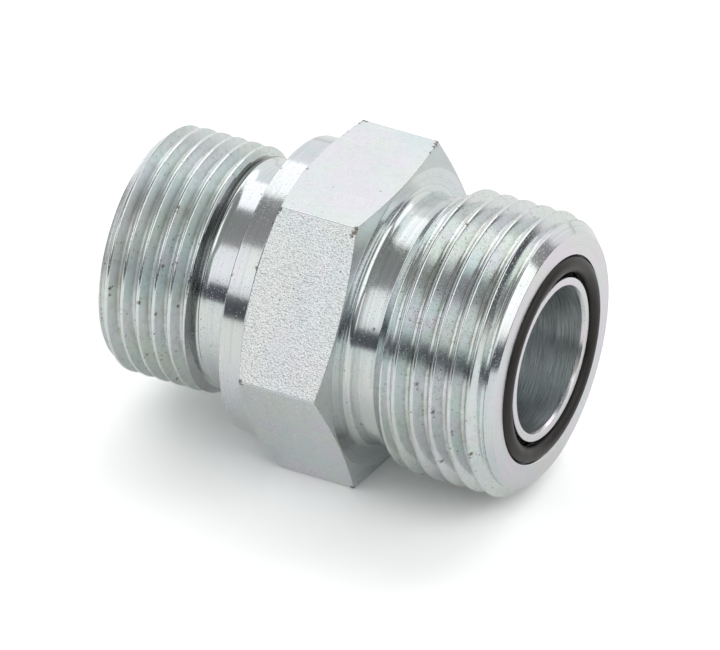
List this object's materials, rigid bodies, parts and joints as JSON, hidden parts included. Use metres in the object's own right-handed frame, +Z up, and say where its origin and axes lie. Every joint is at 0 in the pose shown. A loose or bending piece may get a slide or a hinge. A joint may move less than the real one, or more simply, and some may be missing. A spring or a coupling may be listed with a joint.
{
  "type": "straight adapter",
  "caption": "Straight hydraulic pipe adapter: male face seal end with O-ring, hexagon, and male parallel pipe thread stud with sealing collar, bored through.",
  "frame": {"origin": "on the bore axis, midway along the steel body", "axes": "+X along the bore toward the face seal end, +Z up through a flat of the hexagon, Y through its corners"},
  "size_m": [0.0466, 0.037, 0.032],
  "materials": {
    "zinc_plated_steel": "turned and forged steel with bright zinc plate",
    "seal_rubber": "black nitrile rubber with a soft sheen"
  },
  "bodies": {
    "root": {"adapter_body": "zinc_plated_steel", "o_ring": "seal_rubber"}
  },
  "joints": []
}
